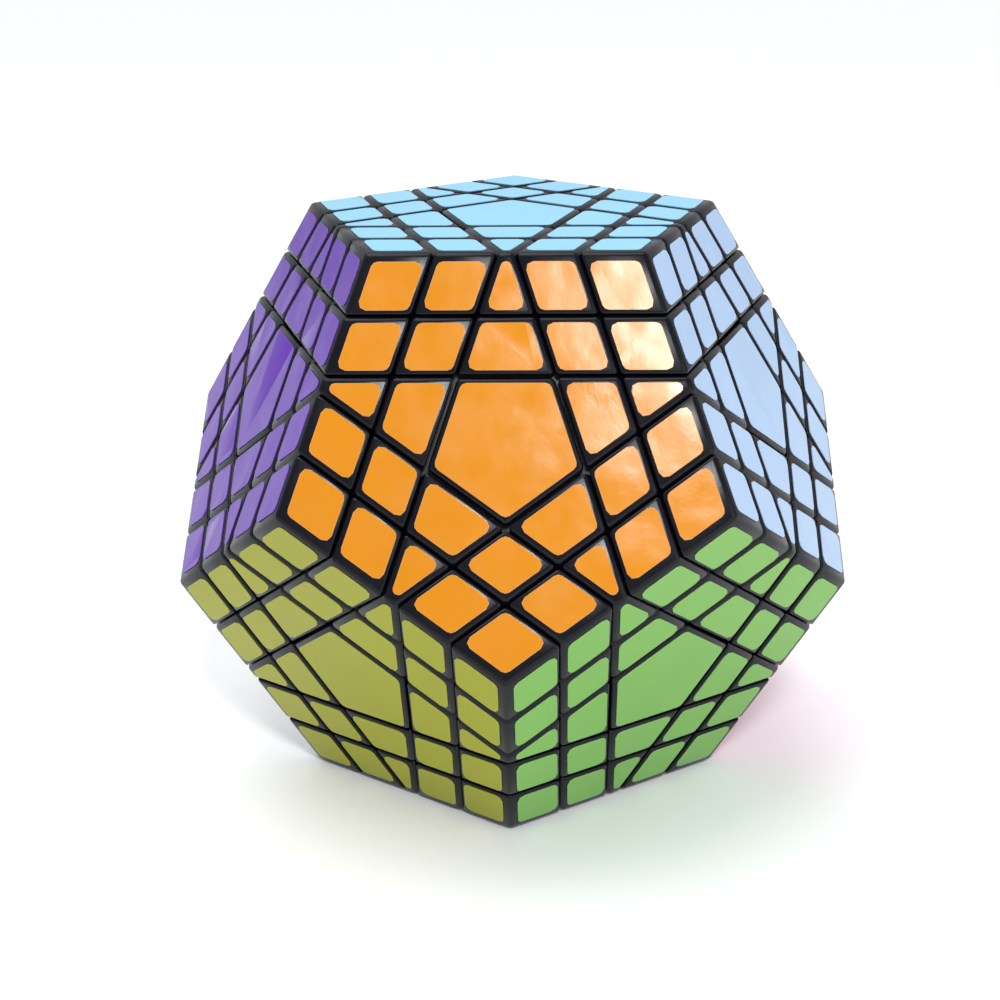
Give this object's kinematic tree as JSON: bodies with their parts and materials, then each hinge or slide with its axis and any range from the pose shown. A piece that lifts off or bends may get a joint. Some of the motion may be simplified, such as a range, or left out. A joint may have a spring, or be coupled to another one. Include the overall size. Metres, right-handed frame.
{
  "type": "dodecahedron twisty puzzle",
  "caption": "Twelve-sided rotational puzzle with two turning layers behind every face, stickered pieces on a sprung core.",
  "frame": {"origin": "centre of the core, where the twelve turning axes meet", "axes": "+Z along the top face's turning axis; -Y towards the front face's middle"},
  "size_m": [0.123, 0.1294, 0.105],
  "materials": {
    "shell_plastic": "gloss moulded black",
    "hub_plastic": "moulded black",
    "core_plastic": "matte moulded black",
    "zinc_screw": "zinc plated",
    "zinc_washer": "zinc plated",
    "spring_steel": "drawn wire",
    "vinyl_light_blue": "gloss vinyl sticker",
    "vinyl_orange": "gloss vinyl sticker",
    "vinyl_grey": "gloss vinyl sticker",
    "vinyl_cream": "gloss vinyl sticker",
    "vinyl_green": "gloss vinyl sticker",
    "vinyl_purple": "gloss vinyl sticker",
    "vinyl_lime": "gloss vinyl sticker",
    "vinyl_pink": "gloss vinyl sticker",
    "vinyl_red": "gloss vinyl sticker",
    "vinyl_white": "gloss vinyl sticker",
    "vinyl_yellow": "gloss vinyl sticker",
    "vinyl_blue": "gloss vinyl sticker"
  },
  "bodies": {
    "middle": {"core": "core_plastic", "tension_screws": "zinc_screw", "washers": "zinc_washer", "springs": "spring_steel", "middle_hubs": "hub_plastic", "middle_caps": "shell_plastic", "middle_corners": "shell_plastic", "middle_wings": "shell_plastic", "middle_midges": "shell_plastic", "middle_x_centres": "shell_plastic", "middle_t_centres": "shell_plastic", "middle_orange_stickers": "vinyl_orange", "middle_grey_stickers": "vinyl_grey", "middle_cream_stickers": "vinyl_cream", "middle_green_stickers": "vinyl_green", "middle_purple_stickers": "vinyl_purple", "middle_lime_stickers": "vinyl_lime", "middle_pink_stickers": "vinyl_pink", "middle_red_stickers": "vinyl_red", "middle_white_stickers": "vinyl_white", "middle_yellow_stickers": "vinyl_yellow"},
    "top_slice": {"top_slice_wings": "shell_plastic", "top_slice_x_centres": "shell_plastic", "top_slice_t_centres": "shell_plastic", "top_slice_orange_stickers": "vinyl_orange", "top_slice_grey_stickers": "vinyl_grey", "top_slice_cream_stickers": "vinyl_cream", "top_slice_green_stickers": "vinyl_green", "top_slice_purple_stickers": "vinyl_purple"},
    "top_layer": {"top_hub": "hub_plastic", "top_corners": "shell_plastic", "top_edges": "shell_plastic", "top_inner_pieces": "shell_plastic", "top_face_stickers": "vinyl_light_blue", "top_orange_stickers": "vinyl_orange", "top_grey_stickers": "vinyl_grey", "top_cream_stickers": "vinyl_cream", "top_green_stickers": "vinyl_green", "top_purple_stickers": "vinyl_purple"},
    "top_cap": {"top_cap": "shell_plastic", "top_cap_sticker": "vinyl_light_blue"},
    "bottom_slice": {"bottom_slice_wings": "shell_plastic", "bottom_slice_x_centres": "shell_plastic", "bottom_slice_t_centres": "shell_plastic", "bottom_slice_lime_stickers": "vinyl_lime", "bottom_slice_pink_stickers": "vinyl_pink", "bottom_slice_red_stickers": "vinyl_red", "bottom_slice_white_stickers": "vinyl_white", "bottom_slice_yellow_stickers": "vinyl_yellow"},
    "bottom_layer": {"bottom_hub": "hub_plastic", "bottom_cap": "shell_plastic", "bottom_corners": "shell_plastic", "bottom_edges": "shell_plastic", "bottom_inner_pieces": "shell_plastic", "bottom_face_stickers": "vinyl_blue", "bottom_lime_stickers": "vinyl_lime", "bottom_pink_stickers": "vinyl_pink", "bottom_red_stickers": "vinyl_red", "bottom_white_stickers": "vinyl_white", "bottom_yellow_stickers": "vinyl_yellow"}
  },
  "joints": [
    {"name": "top_slice_turn", "type": "hinge", "parent": "middle", "child": "top_slice", "pos_m": [0, 0, 0], "axis": [0, 0, 1], "continuous": true},
    {"name": "top_layer_turn", "type": "hinge", "parent": "top_slice", "child": "top_layer", "pos_m": [0, 0, 0], "axis": [0, 0, 1], "continuous": true},
    {"name": "top_cap_pull", "type": "slide", "parent": "top_layer", "child": "top_cap", "axis": [0, 0, 1], "range_m": [0, 0.015]},
    {"name": "bottom_slice_turn", "type": "hinge", "parent": "middle", "child": "bottom_slice", "pos_m": [0, 0, 0], "axis": [0, 0, 1], "continuous": true},
    {"name": "bottom_layer_turn", "type": "hinge", "parent": "bottom_slice", "child": "bottom_layer", "pos_m": [0, 0, 0], "axis": [0, 0, 1], "continuous": true}
  ]
}
